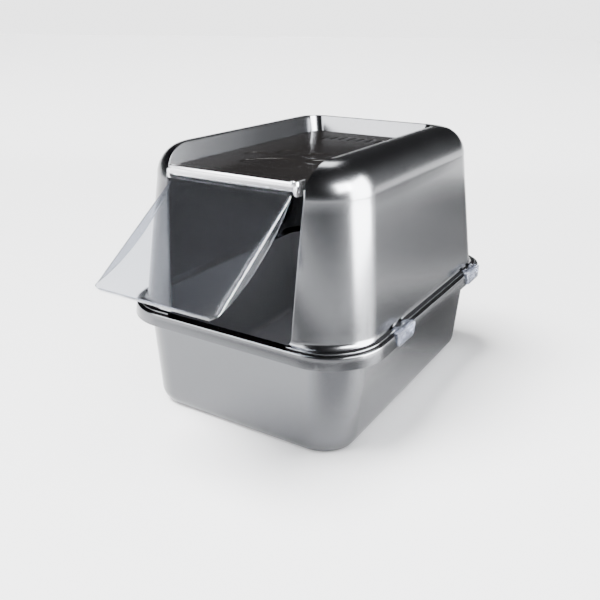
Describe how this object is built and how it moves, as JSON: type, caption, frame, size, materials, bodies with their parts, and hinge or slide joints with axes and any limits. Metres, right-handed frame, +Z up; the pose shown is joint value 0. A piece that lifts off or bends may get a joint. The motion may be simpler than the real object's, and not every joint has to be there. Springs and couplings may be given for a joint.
{
  "type": "covered cat litter box",
  "caption": "Covered cat litter box: deep tapered pan, clip-on silver hood with a recessed flip-up lid, clear swinging entry flap and side clips.",
  "frame": {"origin": "middle of the pan's flat base, on the floor", "axes": "+Z up, the doorway and its flap face -Y, the lid's hinge is towards +Y"},
  "size_m": [0.4524, 0.7007, 0.43],
  "materials": {
    "silver_plastic": "metallic silver, polished",
    "dark_plastic": "glossy near-black",
    "rail_plastic": "bright silver, polished",
    "clear_plastic": "clear, slightly smoky",
    "clip_plastic": "clear with a blue tint",
    "pin_steel": "drawn steel",
    "charcoal_felt": "black carbon felt"
  },
  "bodies": {
    "pan": {"pan": "silver_plastic"},
    "hood": {"hood": "silver_plastic"},
    "lid": {"lid": "dark_plastic", "lid_rail": "rail_plastic", "lid_pin_left": "pin_steel", "lid_pin_right": "pin_steel", "filter_holder": "dark_plastic", "filter_pad": "charcoal_felt", "flap_rod": "pin_steel"},
    "flap": {"entry_flap": "clear_plastic"},
    "clip_front_right": {"clip_front_right": "clip_plastic"},
    "clip_rear_right": {"clip_rear_right": "clip_plastic"},
    "clip_front_left": {"clip_front_left": "clip_plastic"},
    "clip_rear_left": {"clip_rear_left": "clip_plastic"}
  },
  "joints": [
    {"name": "hood_lift", "type": "slide", "parent": "pan", "child": "hood", "axis": [0, 0, 1], "range_m": [0, 0.3]},
    {"name": "lid_hinge", "type": "hinge", "parent": "hood", "child": "lid", "pos_m": [0, 0.1715, 0.4015], "axis": [-1, 0, 0], "range_deg": [0, 105]},
    {"name": "flap_swing", "type": "hinge", "parent": "lid", "child": "flap", "pos_m": [0, -0.2445, 0.394], "axis": [-1, 0, 0], "range_deg": [-100, 30]},
    {"name": "clip_front_right_turn", "type": "hinge", "parent": "hood", "child": "clip_front_right", "pos_m": [0.21112, -0.121, 0.1789], "axis": [0, -1, 0], "range_deg": [0, 95]},
    {"name": "clip_rear_right_turn", "type": "hinge", "parent": "hood", "child": "clip_rear_right", "pos_m": [0.21112, 0.183, 0.1789], "axis": [0, -1, 0], "range_deg": [0, 95]},
    {"name": "clip_front_left_turn", "type": "hinge", "parent": "hood", "child": "clip_front_left", "pos_m": [-0.21112, -0.121, 0.1789], "axis": [0, 1, 0], "range_deg": [0, 95]},
    {"name": "clip_rear_left_turn", "type": "hinge", "parent": "hood", "child": "clip_rear_left", "pos_m": [-0.21112, 0.183, 0.1789], "axis": [0, 1, 0], "range_deg": [0, 95]}
  ]
}
